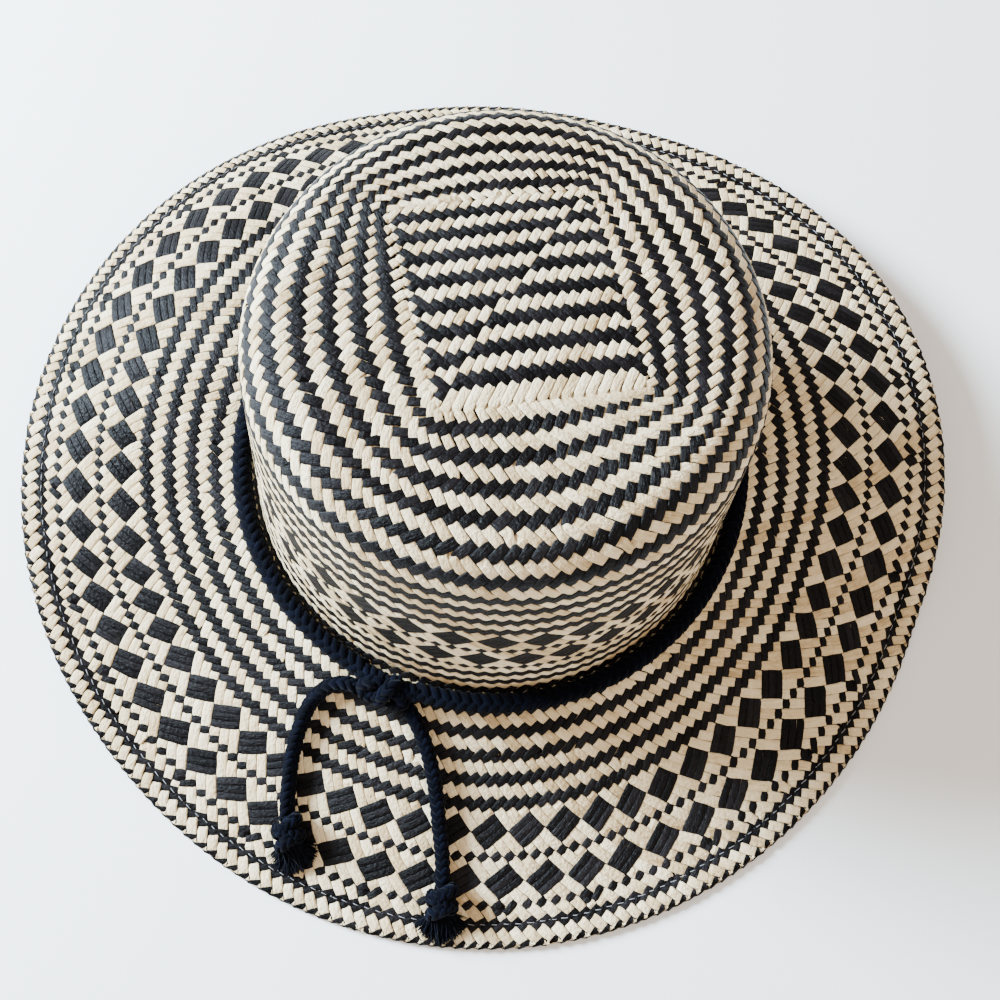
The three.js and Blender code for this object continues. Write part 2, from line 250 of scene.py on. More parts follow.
def strip_section(group, sides, flatness, boxy):
    """The section of a strip: a circle flattened, squared, and with its width written on it."""
    nodes, links = group.nodes, group.links
    circle = nodes.new("GeometryNodeCurvePrimitiveCircle")
    circle.inputs["Resolution"].default_value = sides
    circle.inputs["Radius"].default_value = 1.0
    flatten = nodes.new("GeometryNodeTransform")
    flatten.inputs["Rotation"].default_value = (0, 0, math.pi / 2)
    flatten.inputs["Scale"].default_value = (1, flatness, 1)
    position = nodes.new("GeometryNodeInputPosition")
    split = nodes.new("ShaderNodeSeparateXYZ")
    square = math_node(group, "MULTIPLY", split.outputs["Y"], split.outputs["Y"])
    boxier = math_node(group, "MULTIPLY", math_node(group, "SUBTRACT", 1.0, square), boxy)
    shift = nodes.new("ShaderNodeCombineXYZ")
    links.new(math_node(group, "MULTIPLY", boxier, split.outputs["Y"]), shift.inputs["Y"])
    flat_top = nodes.new("GeometryNodeSetPosition")
    across = nodes.new("GeometryNodeStoreNamedAttribute")
    across.data_type = "FLOAT"
    across.domain = "POINT"
    across.inputs["Name"].default_value = "across"
    links.new(circle.outputs[0], flatten.inputs["Geometry"])
    links.new(flatten.outputs[0], flat_top.inputs["Geometry"])
    links.new(shift.outputs[0], flat_top.inputs["Offset"])
    links.new(flat_top.outputs[0], across.inputs["Geometry"])
    links.new(position.outputs[0], split.inputs[0])
    links.new(split.outputs["Y"], across.inputs["Value"])
    return across.outputs[0]


def strip_nodes(sides, flatness, boxy):
    """A node group that sweeps a flattened circle along a mesh's edges."""
    group = bpy.data.node_groups.new("strip_sweep", "GeometryNodeTree")
    group.interface.new_socket("Geometry", in_out="INPUT", socket_type="NodeSocketGeometry")
    group.interface.new_socket("Geometry", in_out="OUTPUT", socket_type="NodeSocketGeometry")
    nodes, links = group.nodes, group.links
    enter, leave = nodes.new("NodeGroupInput"), nodes.new("NodeGroupOutput")
    to_curve = nodes.new("GeometryNodeMeshToCurve")
    face_up = nodes.new("GeometryNodeSetCurveNormal")
    face_up.mode = "FREE"
    sweep = nodes.new("GeometryNodeCurveToMesh")
    sweep.inputs["Fill Caps"].default_value = True
    links.new(enter.outputs[0], to_curve.inputs["Mesh"])
    links.new(to_curve.outputs[0], face_up.inputs["Curve"])
    links.new(stored_value(group, "facing", "FLOAT_VECTOR"), face_up.inputs["Normal"])
    links.new(face_up.outputs[0], sweep.inputs["Curve"])
    links.new(strip_section(group, sides, flatness, boxy), sweep.inputs["Profile Curve"])
    links.new(stored_value(group, "half_width", "FLOAT"), sweep.inputs["Scale"])
    links.new(sweep.outputs[0], leave.inputs[0])
    return group


def realize(obj):
    """Turns an object's modifiers into its own mesh."""
    depsgraph = bpy.context.evaluated_depsgraph_get()
    mesh = bpy.data.meshes.new_from_object(obj.evaluated_get(depsgraph), depsgraph=depsgraph)
    bare = obj.data
    obj.modifiers.clear()
    obj.data = mesh
    bpy.data.meshes.remove(bare)
    mesh.name = obj.name


# %% Strips from lines
TONE_SHIFT = 37.0
TINY = 1e-12


def sweep_strips(name, lines, sides, flatness, boxy=0.0, crisp=None):
    """One object of closed strips. Each line has points, facing and half_width arrays in mm,
    and a tone, which also shifts the grain along it. boxy squares the section, and edges that
    turn by more than crisp degrees stay sharp."""
    sizes = [len(line["points"]) for line in lines]
    points = np.concatenate([line["points"] for line in lines]) * MM
    facings = np.concatenate([line["facing"] for line in lines])
    widths = np.concatenate([np.broadcast_to(line["half_width"], size)
                             for line, size in zip(lines, sizes)]) * MM
    tones = np.concatenate([np.full(size, line["tone"]) for line, size in zip(lines, sizes)])
    lengths, edges, first = [], [], 0
    for line, size in zip(lines, sizes):
        steps = np.linalg.norm(np.diff(line["points"], axis=0), axis=1)
        lengths.append(np.concatenate([[0], np.cumsum(steps)]) + TONE_SHIFT * line["tone"])
        edges.extend((first + i, first + i + 1) for i in range(size - 1))
        first += size
    mesh = bpy.data.meshes.new(name)
    mesh.from_pydata(points.tolist(), edges, [])
    for label, kind, values in (("facing", "FLOAT_VECTOR", facings),
                                ("half_width", "FLOAT", widths),
                                ("along", "FLOAT", np.concatenate(lengths)),
                                ("tone", "FLOAT", tones)):
        layer = mesh.attributes.new(label, kind, "POINT")
        layer.data.foreach_set("vector" if kind == "FLOAT_VECTOR" else "value", values.ravel())
    obj = bpy.data.objects.new(name, mesh)
    bpy.context.scene.collection.objects.link(obj)
    obj.modifiers.new("sweep", "NODES").node_group = strip_nodes(sides, flatness, boxy)
    realize(obj)
    obj.data.shade_smooth()
    if crisp:
        obj.data.set_sharp_from_angle(angle=math.radians(crisp))
    return obj


def square_facing(points, facing):
    """Turns each facing square to its line, so that the strip keeps its width."""
    ways = np.gradient(points, axis=0)
    ways /= np.linalg.norm(ways, axis=1, keepdims=True) + TINY
    square = facing - (facing * ways).sum(1, keepdims=True) * ways
    return square / (np.linalg.norm(square, axis=1, keepdims=True) + TINY)


# %% [markdown]
# ## Routes
# A cord follows a route: a smooth curve through a few places. The curve is a centripetal
# Catmull-Rom one, which passes through every place and makes no loops where they lie close
# together. A braid is worked out round any such route. It needs a frame that turns with the
# route, so the sideways direction is carried from point to point.

# %% Smooth and even routes
def between(x, start, end, p, q):
    """The point at x on the way from p, at start, to q, at end."""
    return (end - x) / (end - start) * p + (x - start) / (end - start) * q


def smooth_route(knots, spacing):
    """Points every spacing mm or so on a centripetal Catmull-Rom curve through the knots."""
    knots = np.asarray(knots, float)
    control = np.concatenate([[2 * knots[0] - knots[1]], knots, [2 * knots[-1] - knots[-2]]])
    out = []
    for i in range(1, len(control) - 2):
        p = control[i - 1:i + 3]
        t = np.concatenate([[0], np.cumsum(np.sqrt(np.linalg.norm(np.diff(p, axis=0), axis=1)))])
        count = max(2, int(np.linalg.norm(p[2] - p[1]) / spacing + 0.5))
        for x in np.linspace(t[1], t[2], count, endpoint=False):
            a = [between(x, t[k], t[k + 1], p[k], p[k + 1]) for k in range(3)]
            b = [between(x, t[k], t[k + 2], a[k], a[k + 1]) for k in range(2)]
            out.append(between(x, t[1], t[2], b[0], b[1]))
    out.append(knots[-1])
    return np.array(out)


def even_route(route, spacing):
    """The same route with points evenly spaced."""
    steps = np.concatenate([[0], np.cumsum(np.linalg.norm(np.diff(route, axis=0), axis=1))])
    count = max(2, int(round(steps[-1] / spacing)) + 1)
    where = np.linspace(0, steps[-1], count)
    return np.stack([np.interp(where, steps, route[:, k]) for k in range(3)], 1)


def route_frames(route):
    """The sideways and upward directions at each point of a route, turned as little as can be."""
    ways = np.gradient(route, axis=0)
    ways /= np.linalg.norm(ways, axis=1, keepdims=True)
    side = np.cross(ways[0], (0, 0, 1.0))
    side /= np.linalg.norm(side)
    sides = []
    for way in ways:
        side = side - side.dot(way) * way
        side = side / np.linalg.norm(side)
        sides.append(side)
    sides = np.array(sides)
    return sides, np.cross(sides, ways)


# %% [markdown]
# ## Braided cord
# The cord is a round braid: four yarns wind each way round a core, and each passes over two
# and under two of the others. A yarn's distance from the middle rises and falls along a
# cosine, held for a while at the top and at the bottom, so that it crosses the others without
# a kink. The core fills the braid, so that no light passes through.

# %% A braid round a route
YARNS, YARN_ROUND, YARN_RELIEF = 4, 0.5, 0.34
YARN_FILL, YARN_HOLD, YARN_PHASE = 1.06, 1.4, 0.5
BRAID_PITCH = 12.5


def braid_lines(route, radius, seed, pitch):
    """The lines of a round braid of the given outer radius, and of the core that fills it."""
    rng = random.Random(seed)
    route = even_route(route, pitch / (4 * YARNS))
    sides, ups = route_frames(route)
    half = math.pi * radius / YARNS * math.cos(math.atan(2 * math.pi * radius / pitch))
    middle = radius - YARN_RELIEF - YARN_ROUND * half
    count = np.arange(len(route)) / 2
    lines = []
    for sense in (1, -1):
        for k in range(YARNS):
            turn = sense * math.pi * count / YARNS + 2 * math.pi * k / YARNS
            over = sense * np.cos(math.pi / 2 * (2 * k + sense * count - YARN_PHASE))
            reach = middle + YARN_RELIEF * np.clip(YARN_HOLD * over, -1, 1)
            outward = sides * np.cos(turn)[:, None] + ups * np.sin(turn)[:, None]
            points = route + outward * reach[:, None]
            lines.append({"points": points, "facing": square_facing(points, outward),
                          "half_width": half * YARN_FILL, "tone": rng.random()})
    core = {"points": route, "facing": square_facing(route, ups), "half_width": middle, "tone": 0.0}
    return lines, core


def join(first, others):
    """Joins other objects' meshes into the first one."""
    with bpy.context.temp_override(active_object=first, object=first,
                                   selected_objects=[first] + others,
                                   selected_editable_objects=[first] + others):
        bpy.ops.object.join()
    return first


def braided(name, route, radius, seed, pitch=BRAID_PITCH):
    """A braided cord as one object: its yarns, joined with the round core inside them."""
    lines, core = braid_lines(route, radius, seed, pitch)
    yarn = sweep_strips(name, lines, sides=5, flatness=YARN_ROUND)
    inner = sweep_strips(name + "_core", [core], sides=8, flatness=1.0)
    return join(yarn, [inner])


# %% [markdown]
# ## The two tails
# Each tail leaves the knot and lies loosely on the brim, down to its end knot. Its route is a
# few places seen from above, and its height follows the brim under it, so that the cord lies
# on the brim all along.

# %% Routes of the tails
TAIL_RADIUS, TAIL_SPACING = 3.1, 1.5
TAIL_LEFT = [(-40.3, -97.7), (-45.5, -97), (-51.5, -98.6), (-57, -103.5), (-60.6, -112.5),
             (-62.4, -122.8), (-62.6, -132.4), (-62.1, -141.2), (-61.3, -148.4)]
TAIL_RIGHT = [(-21.2, -102.5), (-18, -106.2), (-14.2, -111.8), (-9.6, -121.3), (-5.9, -132.8),
              (-3.3, -144.1), (-0.6, -155.7), (0.6, -166.2)]
HALVINGS = 30
HEM_ZONE = 10


def seat_on_brim(x, y, radius):
    """The height at which something of the given radius rests on the brim. The length along
    the weave is found by halving the brim's reach again and again."""
    angle = np.array([math.atan2(y, x)])
    near, far = 0.0, BRIM_REACH
    for _ in range(HALVINGS):
        s = (near + far) / 2
        p = brim_point(angle, np.array([s]))[0]
        if math.hypot(p[0], p[1]) < math.hypot(x, y):
            near = s
        else:
            far = s
    foot, curl = brim_slope(angle)
    half = (HEM if near > BRIM_REACH - HEM_ZONE else WALL) / 2
    height = brim_point(angle, np.array([near]))[0][2]
    return height + (half + GAP + radius) / math.cos(foot[0] + curl[0] * near / BRIM_REACH)


tail_routes = {}
for tail_name, places in (("tail_left", TAIL_LEFT), ("tail_right", TAIL_RIGHT)):
    seated = [(x, y, seat_on_brim(x, y, TAIL_RADIUS)) for x, y in places]
    tail_routes[tail_name] = smooth_route(seated, TAIL_SPACING)
    print(tail_name, "points", len(tail_routes[tail_name]))

# %% [markdown]
# ## Navy yarn
# The cord's yarn is a soft matt thread, almost black in its folds and blue where light grazes
# it. Fine fibres along each yarn come from noise stretched along the strip, and a little sheen
# gives the soft edge of fuzz.

# %% Materials: helpers
TONE_APART = 50.0


def new_material(name, roughness, sheen=0.0, specular=0.3):
    """A Principled material with its node tree ready for a pattern."""
    material = bpy.data.materials.new(name)
    material.use_nodes = True
    shader = material.node_tree.nodes["Principled BSDF"]
    shader.inputs["Roughness"].default_value = roughness
    shader.inputs["Sheen Weight"].default_value = sheen
    shader.inputs["Specular IOR Level"].default_value = specular
    return material, material.node_tree, shader


def attribute_node(tree, name):
    """Reads what the strips carry under a name."""
    node = tree.nodes.new("ShaderNodeAttribute")
    node.attribute_name = name
    return node.outputs["Fac"]


def strip_noise(tree, along, across, detail=2.0, rough=0.5):
    """Noise that follows the strip, scaled along and across it, and differs from strip to strip."""
    join_node = tree.nodes.new("ShaderNodeCombineXYZ")
    for socket, label, scale in zip(join_node.inputs, ("along", "across", "tone"),
                                    (along, across, TONE_APART)):
        tree.links.new(math_node(tree, "MULTIPLY", attribute_node(tree, label), scale), socket)
    node = tree.nodes.new("ShaderNodeTexNoise")
    node.inputs["Scale"].default_value = 1.0
    node.inputs["Detail"].default_value = detail
    node.inputs["Roughness"].default_value = rough
    tree.links.new(join_node.outputs[0], node.inputs["Vector"])
    return node.outputs[0]


def mixed(tree, *shares):
    """Adds up sockets, each taken by its share."""
    total = None
    for socket, share in shares:
        part = math_node(tree, "MULTIPLY", socket, share)
        total = part if total is None else math_node(tree, "ADD", total, part)
    return total


def ramp_node(tree, value, stops):
    """Colours along a value: rows of position and linear colour."""
    node = tree.nodes.new("ShaderNodeValToRGB")
    band = node.color_ramp
    while len(band.elements) < len(stops):
        band.elements.new(0.5)
    for element, (place, colour) in zip(band.elements, stops):
        element.position = place
        element.color = (*colour, 1.0)
    tree.links.new(value, node.inputs[0])
    return node.outputs[0]


def bump_node(tree, shader, height, strength, distance):
    """Adds fine relief from a height, in metres of distance."""
    node = tree.nodes.new("ShaderNodeBump")
    node.inputs["Strength"].default_value = strength
    node.inputs["Distance"].default_value = distance
    tree.links.new(height, node.inputs["Height"])
    tree.links.new(node.outputs[0], shader.inputs["Normal"])


# %% Material: navy yarn
NAVY_STOPS = [(0.25, (0.0003, 0.0004, 0.0013)), (0.55, (0.0008, 0.0013, 0.0043)),
              (0.85, (0.0032, 0.0050, 0.0145))]


def navy_yarn():
    """Matt navy yarn with fine fibres along it."""
    material, tree, shader = new_material("navy_yarn", 0.9, sheen=0.02, specular=0.04)
    fibre = strip_noise(tree, along=0.5, across=5.0, detail=3.0, rough=0.6)
    value = mixed(tree, (fibre, 0.75), (attribute_node(tree, "tone"), 0.25))
    tree.links.new(ramp_node(tree, value, NAVY_STOPS), shader.inputs["Base Color"])
    bump_node(tree, shader, fibre, strength=0.7, distance=0.0003)
    return material


navy = navy_yarn()
print("material:", navy.name)

# %% Braid the tails
TAIL_SEED = 3


def dress(obj, material, slot, *nodes):
    """Gives a piece its material, hangs it on the body and hides the imported parts it stands in
    for.
    """
    obj.data.materials.clear()
    obj.data.materials.append(material)
    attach(obj, BODY)
    if nodes:
        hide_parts(*nodes)
    return obj


for seed, (tail_name, route) in enumerate(tail_routes.items()):
    braid = braided(tail_name + "_braid", route, TAIL_RADIUS, seed + TAIL_SEED)
    dress(braid, navy, "navy_cord", tail_name)

# %% [markdown]
# ## End knots and brushes
# Each tail ends in a tight knot, and past it the cord is frayed into a brush that lies fanned
# out on the brim. The knot is three turns of the same braid wound round the tail's end. The
# brush is a few hundred fine threads, each with its own length, turn and droop. One object
# holds them all, so that the brush stays one piece.

# %% The end knot
HEAD_LENGTH, HEAD_RADIUS = 10.0, 5.6
# each turn's place along the knot and its lean, in mm
TURNS = ((2.2, 1.9), (4.9, -2.2), (7.4, 1.7))
TURN_REACH, TURN_SQUASH, TURN_SPACING = 3.8, 0.75, 0.8
TURN_CORD, TURN_PITCH = 2.75, 9.5


def turned(way, angle):
    """A level direction turned round the vertical."""
    return np.array([way[0] * math.cos(angle) - way[1] * math.sin(angle),
                     way[0] * math.sin(angle) + way[1] * math.cos(angle), 0.0])


def turn_route(centre, axis, lean):
    """One turn of cord round an axis, flattened and leaning a little."""
    axis = axis / np.linalg.norm(axis)
    side = np.cross(axis, (0, 0, 1.0))
    side /= np.linalg.norm(side)
    up = np.cross(side, axis)
    turn = np.linspace(0, 2 * math.pi, int(2 * math.pi * TURN_REACH / TURN_SPACING) + 1)
    sideways, upright = np.cos(turn)[:, None], np.sin(turn)[:, None]
    return centre + TURN_REACH * (sideways * side + TURN_SQUASH * upright * up) \
        + lean * sideways * axis


def end_knot(name, base, axis, seed):
    """The turns of cord that make an end knot."""
    return [braided(name + f"_turn{i}", turn_route(base + axis * place, axis, lean), TURN_CORD,
                    seed + i, TURN_PITCH)
            for i, (place, lean) in enumerate(TURNS)]


# %% The brush
THREADS, THREAD_WIDTHS, THREAD_REST = 600, np.array([0.32, 0.32, 0.3, 0.26, 0.1]), 0.25
LOCK_LENGTH, SHORTEST, NECK_TUCK = 10.5, 0.72, 2
FAN, FAN_CORE, FAN_LOSS = 76.0, 0.55, 0.12
NECK_SPREAD, NECK_PULL, STRAY = 5.0, 0.9, 0.7
BUNDLE_NECK, BUNDLE_FALL, DROOP = 3.3, 1.5, 0.45


def brush_lines(neck, level, rng):
    """The lines of a brush's threads, fanned out from its neck and sinking onto the brim."""
    side = np.array([-level[1], level[0], 0.0])
    up = np.tile((0, 0, 1.0), (len(THREAD_WIDTHS), 1))
    lines = []
    for _ in range(THREADS):
        yaw = math.radians(rng.uniform(-FAN, FAN) * (FAN_CORE + (1 - FAN_CORE) * rng.random()))
        reach = LOCK_LENGTH * rng.uniform(SHORTEST, 1.0) * (1 - FAN_LOSS * abs(yaw))
        way = turned(level, yaw)
        spread, height = rng.uniform(-NECK_SPREAD, NECK_SPREAD), rng.random()
        points = []
        for t in np.linspace(0, 1, len(THREAD_WIDTHS)):
            place = neck + side * spread * (1 - t) * NECK_PULL + way * (reach + NECK_TUCK) * t
            place = place + side * rng.uniform(-STRAY, STRAY) * t
            bundle = BUNDLE_NECK - BUNDLE_FALL * t
            place[2] = seat_on_brim(place[0], place[1], THREAD_REST) - GAP * t \
                + 2 * bundle * height * (1 - DROOP * t)
            points.append(place)
        points = np.array(points)
        lines.append({"points": points, "facing": square_facing(points, up),
                      "half_width": THREAD_WIDTHS, "tone": rng.random()})
    return lines


# %% Tassels
HEAD_TURN = {"tail_left": 13.0, "tail_right": 0.0}
TASSEL_SEED, SEED_STEP, PATH_SPACING = 40, 10, 3.0


def tassel(name, route, turn, seed):
    """The end knot and the frayed brush at the end of a tail."""
    end = route[-1]
    forward = route[-1] - route[-3]
    level = np.array([forward[0], forward[1], 0.0])
    level /= np.linalg.norm(level)
    level = turned(level, math.radians(turn))
    neck = end + level * (HEAD_LENGTH - NECK_TUCK)
    base = end.copy()
    base[2] = seat_on_brim(base[0], base[1], HEAD_RADIUS)
    neck[2] = seat_on_brim(neck[0], neck[1], HEAD_RADIUS)
    axis = (neck - base) / np.linalg.norm(neck - base)
    turns = end_knot(name, base, axis, seed)
    lines = brush_lines(neck, level, random.Random(seed))
    return join(sweep_strips(name, lines, sides=3, flatness=1.0), turns)


for k, (tail_name, route) in enumerate(tail_routes.items()):
    node = tail_name.replace("tail", "tassel")
    ends = tassel(node + "_brush", route, HEAD_TURN[tail_name], TASSEL_SEED + SEED_STEP * k)
    dress(ends, navy, "navy_cord", node)

# %% [markdown]
# ## The band and its knot
# The cord lies in the corner between wall and brim, and ties at the front left. The band is
# one long braid. The knot is made of short pieces of the same cord: one runs on in line with
# the band, one bulges at its left, one wraps over the top and one folds back at its right.

# %% Band
BAND_RADIUS, BAND_EASE = 3.9, 0.55
BAND_POINTS, BAND_PITCH, BAND_SEED = 240, 15.5, 7
KNOT_ANGLE, KNOT_HALF = math.radians(-106.5), 11.0
KNOT_TURN = KNOT_HALF / (BASE_RADIUS + WALL / 2 + GAP + BAND_RADIUS)


def band_point(angle):
    """The band's centre line, resting on both wall and brim."""
    clear = WALL / 2 + GAP + BAND_RADIUS
    out = clear + BAND_EASE
    foot, _ = brim_slope(angle)
    up = clear / np.cos(foot) - out * np.tan(foot) + BAND_EASE
    radius = BASE_RADIUS + out
    return np.stack([radius * np.cos(angle), radius * np.sin(angle), BASE_HEIGHT + up], -1)


band_angles = np.linspace(KNOT_ANGLE + KNOT_TURN, KNOT_ANGLE - KNOT_TURN + 2 * math.pi,
                          BAND_POINTS)
band = braided("band_braid", band_point(band_angles), BAND_RADIUS, BAND_SEED, BAND_PITCH)
dress(band, navy, "navy_cord", "cord_band")
print("band faces", len(band.data.polygons))

# %% Knot
KNOT_MIDDLE = band_point(np.array([KNOT_ANGLE]))[0]
KNOT_ALONG = np.array([-math.sin(KNOT_ANGLE), math.cos(KNOT_ANGLE), 0.0])
KNOT_OUT = np.array([math.cos(KNOT_ANGLE), math.sin(KNOT_ANGLE), 0.0])
KNOT_SPACING, KNOT_SEED = 0.8, 60
# each cord's name and radius, and its places along the band, outward and up
KNOT_CORDS = [
    ("through", 3.7, [(-11.5, 0, 0), (-6, 0.8, 0.8), (0, 1.2, 1.0), (6, 0.8, 0.8),
                      (11.5, 0, 0)]),
    ("lobe", 3.2, [(-1.5, 0.5, 1.2), (-5.5, 2.6, 2.2), (-8.2, 5.0, -0.6), (-6.4, 7.2, -2.4),
                   (-2.4, 6.6, -1.6)]),
    ("wrap", 3.1, [(3.2, -1.2, 2.6), (2.0, 1.6, 4.2), (0.6, 5.2, 2.4), (-0.8, 7.4, -1.4),
                   (0.8, 6.2, -3.0)]),
    ("fold", 3.0, [(1.0, 2.0, 3.0), (5.0, 3.2, 1.8), (7.6, 4.4, -0.6), (6.6, 6.4, -2.2),
                   (3.0, 6.4, -2.2)]),
]


def knot_place(along, out, up):
    """A place in the knot, from its middle."""
    return KNOT_MIDDLE + along * KNOT_ALONG + out * KNOT_OUT + np.array([0, 0, up])


knot_parts = []
for seed, (label, radius, places) in enumerate(KNOT_CORDS):
    route = smooth_route([knot_place(*place) for place in places], KNOT_SPACING)
    knot_parts.append(braided("knot_" + label, route, radius, KNOT_SEED + seed))
knot = dress(join(knot_parts[0], knot_parts[1:]), navy, "navy_cord", "band_knot")
knot.name = "knot_cords"
print("knot faces", len(knot.data.polygons))

# %% [markdown]
# ## The weave's crossings
# The hat starts as a flat panel on the crown. From its edges outward the strips run in two
# families, one leaning each way, and they cross in rings: each ring's crossings sit between
# those of the ring before. Where the hat widens, a new pair of strips is put in, so a ring
# gains a crossing. A list says how many crossings each ring has, and the widest gaps get the
# new pairs. On the brim each ring is turned a little against the one before, so the light
# strips run steeply out and the dark ones more along the rim.

# %% Where the rings lie
PANEL = {"top_left": (-43.2, 38.0), "top_right": (22.2, 55.0), "bottom_right": (47.1, -13.1),
         "bottom_left": (-17.5, -30.1)}
CORNER_SHARPNESS, PANEL_OVERLAP = 14, 0.6
FIRST_RING, ROUND_RING, LAST_RING = -41, -20.5, 72
ROUND_ARC = 80.0
FOOT_RING, BRIM_SHIFT = 25.9, 48
# rings counted from BRIM_SHIFT, and how far they lie from the foot
BRIM_RINGS = [(2, 10, 16, 18, 20, 21, 22, 26), (56.9, 75.8, 88.4, 92.1, 96.5, 98.2, 99.6, 107.0)]
INNER_BRIM_STEP = 2.36
RING_CELLS = [(-41, 70), (-17, 108), (22, 108), (29, 132), (46, 198), (62, 198), (63, 223),
              (66, 240), (72, 240)]


def panel_outline(angle):
    """How far the start panel reaches from the crown's middle, with rounded corners."""
    corners = [np.array(PANEL[k]) - (LEAN_X, LEAN_Y)
               for k in ("bottom_left", "bottom_right", "top_right", "top_left")]
    total = 0.0
    for a, b in zip(corners, corners[1:] + corners[:1]):
        edge = b - a
        normal = np.array([edge[1], -edge[0]]) / np.linalg.norm(edge)
        toward = (np.cos(angle) * normal[0] + np.sin(angle) * normal[1]) / normal.dot(a)
        total = total + np.maximum(toward, 0) ** CORNER_SHARPNESS
    return total ** (-1 / CORNER_SHARPNESS) - PANEL_OVERLAP


def ring_arc(level, angle):
    """How far along the weave a ring lies at an angle."""
    if level < ROUND_RING:
        start = FIRST_RING - 0.5
        inner = panel_outline(angle)
        return inner + (ROUND_ARC - inner) * ((level - start) / (ROUND_RING - start))
    if level <= FOOT_RING:
        wall_step = (CROWN_LENGTH - ROUND_ARC) / (FOOT_RING - ROUND_RING)
        return ROUND_ARC + (level - ROUND_RING) * wall_step + 0 * angle
    levels, reaches = BRIM_RINGS
    brim_level = level - BRIM_SHIFT
    if brim_level > levels[0]:
        past = np.interp(brim_level, levels, reaches)
    else:
        past = reaches[0] + (brim_level - levels[0]) * INNER_BRIM_STEP
    return CROWN_LENGTH + past + 0 * angle


def ring_points(level, angle):
    """A ring's crossings laid flat: their place as if the weave were unrolled from the top."""
    s = ring_arc(level, angle)
    return np.stack([s * np.cos(angle), s * np.sin(angle)], -1)


def on_sheet(flat):
    """Puts points laid flat back on the folded surface."""
    return sheet_frame(np.arctan2(flat[..., 1], flat[..., 0]), np.hypot(flat[..., 0], flat[..., 1]))


def cells_in(level):
    """How many crossings a ring has."""
    levels, cells = zip(*RING_CELLS)
    return int(round(np.interp(level, levels, cells)))


print("crossings in the first, foot and last ring:",
      cells_in(FIRST_RING), cells_in(FOOT_RING), cells_in(LAST_RING))

# %% Spread the crossings of a ring
YOUNG_SHARE, SHARE_PER_RING, CLOSEST_PAIRS = 0.72, 0.05, 2
EVENING = 0.25


def ring_gaps(level, angles):
    """The distance on the hat from each crossing of a ring to the next."""
    place = hat_point(angles, np.minimum(ring_arc(level, angles), HAT_LENGTH))
    return np.linalg.norm(np.roll(place, -1, 0) - place, axis=1)


def next_angles(angles):
    """Each crossing's next one, which for the last is a full turn past the first."""
    after = np.roll(angles, -1)
    after[-1] += 2 * math.pi
    return after


def widest_gaps(gaps, ages, count):
    """The gaps that take a new pair of strips: wide ones, apart from each other and from pairs
    put in a few rings before."""
    score = gaps * np.minimum(1.0, YOUNG_SHARE + SHARE_PER_RING * ages)
    taken = []
    for j in np.argsort(-score).tolist():
        if len(taken) >= count:
            break
        if all(min((j - k) % len(gaps), (k - j) % len(gaps)) > CLOSEST_PAIRS for k in taken):
            taken.append(j)
    return set(taken)


def even_out(level, angles, times=2):
    """Moves each crossing towards its farther neighbour."""
    for _ in range(times):
        before = np.roll(angles, 1)
        before[0] -= 2 * math.pi
        step = ring_gaps(level, angles)
        back = np.roll(step, 1)
        ahead = next_angles(angles) - before
        angles = angles + EVENING * ahead / 2 * (step - back) / (step + back)
    return angles


# %% Grow the rings
# how far each brim ring is turned: three of 198 crossings over 24 rings
WEAVE_TWIST = 3 * (2 * math.pi / 198) / 24
FIRST_EVENING, FIRST_AGE = 200, 20.0
# the ring whose new pairs are evenly spaced and show as single dark spots
SPOT_RING = 63
rings = []
angles = even_out(FIRST_RING, np.linspace(0, 2 * math.pi, cells_in(FIRST_RING), endpoint=False),
                  FIRST_EVENING)
light_ids = list(range(len(angles)))
dark_ids = list(range(len(angles)))
strips = {"light": len(angles), "dark": len(angles)}
ages = np.full(len(angles), FIRST_AGE)
spots = np.zeros(len(angles), bool)
for level in range(FIRST_RING, LAST_RING + 1):
    rings.append({"level": level, "angles": angles, "light": light_ids, "dark": dark_ids,
                  "spots": spots})
    if level == LAST_RING:
        break
    count = len(angles)
    after = next_angles(angles)
    extra = cells_in(level + 1) - count
    spotted = level + 1 == SPOT_RING
    if spotted:
        chosen = {(3 * round(k * count / 3 / extra) + 1) % count for k in range(extra)}
    else:
        chosen = widest_gaps(ring_gaps(level, angles), np.minimum(ages, np.roll(ages, -1)), extra)
    rows = []
    for j in range(count):
        right = (j + 1) % count
        if j in chosen:
            third = (after[j] - angles[j]) / 3
            rows.append((angles[j] + third, light_ids[j], strips["dark"], 0, spotted))
            rows.append((angles[j] + 2 * third, strips["light"], dark_ids[right], 0, spotted))
            strips["dark"] += 1
            strips["light"] += 1
        else:
            age = min(ages[j], ages[right]) + 1
            rows.append(((angles[j] + after[j]) / 2, light_ids[j], dark_ids[right], age, False))
    twist = WEAVE_TWIST if level > FOOT_RING else 0.0
    angles = even_out(level + 1, np.array([row[0] for row in rows]) - twist)
    light_ids, dark_ids = [row[1] for row in rows], [row[2] for row in rows]
    ages = np.array([row[3] for row in rows], float)
    spots = np.array([row[4] for row in rows], bool)
print("rings", len(rings), "crossings", sum(len(r["angles"]) for r in rings), "strips", strips)

# %% [markdown]
# ## The pattern
# A crossing shows whichever strip lies on top. In the plain rings two rings of light floats
# follow two of dark ones. The wide bands on the wall and on the brim carry the traditional
# motif of dark squares, three crossings by three, in two staggered rows with a ring of dark
# crossings past each. It is charted here by the two strips' own places in the ring, so a
# square keeps its shape. From the fold of the rim on, dark lies on top.

# %% Chart of the pattern
MOTIF_STARTS = (0, BRIM_SHIFT)
MOTIF_ROWS, DARK_ROWS = range(-1, 15), (6, 14)
SQUARE, FIRST_SQUARES, SECOND_SQUARES = 3, range(0, 5), range(8, 13)
SECOND_SHIFT, SECOND_SUM = 2, 2
EDGE_RING = 69
TWILL, TWILL_DARK = 4, (1, 2)


